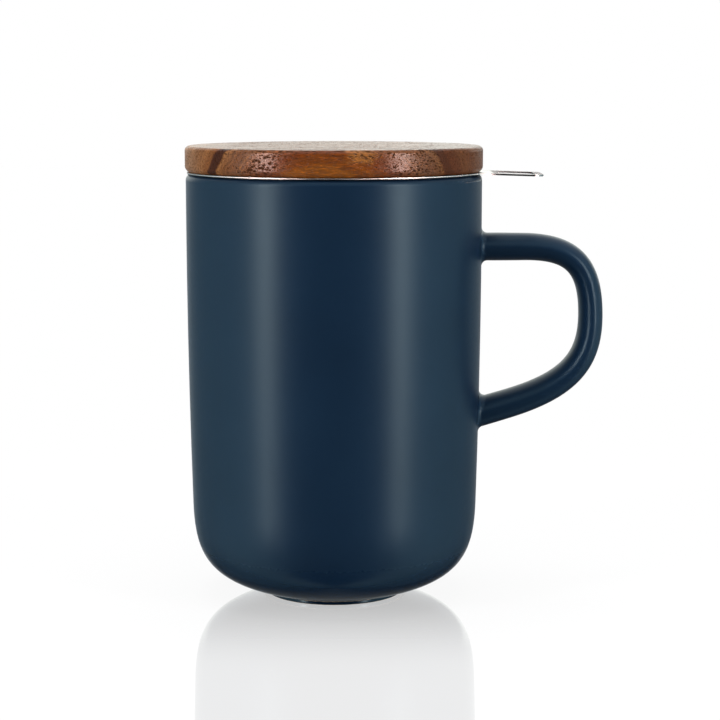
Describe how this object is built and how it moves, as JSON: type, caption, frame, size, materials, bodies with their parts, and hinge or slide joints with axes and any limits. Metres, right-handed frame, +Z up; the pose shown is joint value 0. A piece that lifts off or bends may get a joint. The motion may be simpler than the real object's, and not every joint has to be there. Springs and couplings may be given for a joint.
{
  "type": "lidded tea mug with infuser",
  "caption": "Round-bottomed ceramic mug with a strap handle, a slotted steel infuser basket hanging in its mouth by a tabbed rim, and a turned wooden lid with a silicone seal.",
  "frame": {"origin": "middle of the foot ring, in the plane of the table", "axes": "+Z up along the mug's axis, +X out through the handle and the infuser's tab"},
  "size_m": [0.1207, 0.0856, 0.1304],
  "materials": {
    "navy_glaze": "satin navy glaze",
    "steel": "satin stainless steel",
    "acacia": "oiled acacia",
    "silicone": "translucent silicone"
  },
  "bodies": {
    "mug": {"mug_body": "navy_glaze", "mug_handle": "navy_glaze"},
    "infuser": {"infuser_rim": "steel", "infuser_wall": "steel", "infuser_base": "steel"},
    "lid": {"lid_disc": "acacia", "lid_seal": "silicone"}
  },
  "joints": [
    {"name": "infuser_lift", "type": "slide", "parent": "mug", "child": "infuser", "axis": [0, 0, 1], "range_m": [0, 0.1]},
    {"name": "lid_lift", "type": "slide", "parent": "infuser", "child": "lid", "axis": [0, 0, 1], "range_m": [0, 0.04]}
  ]
}
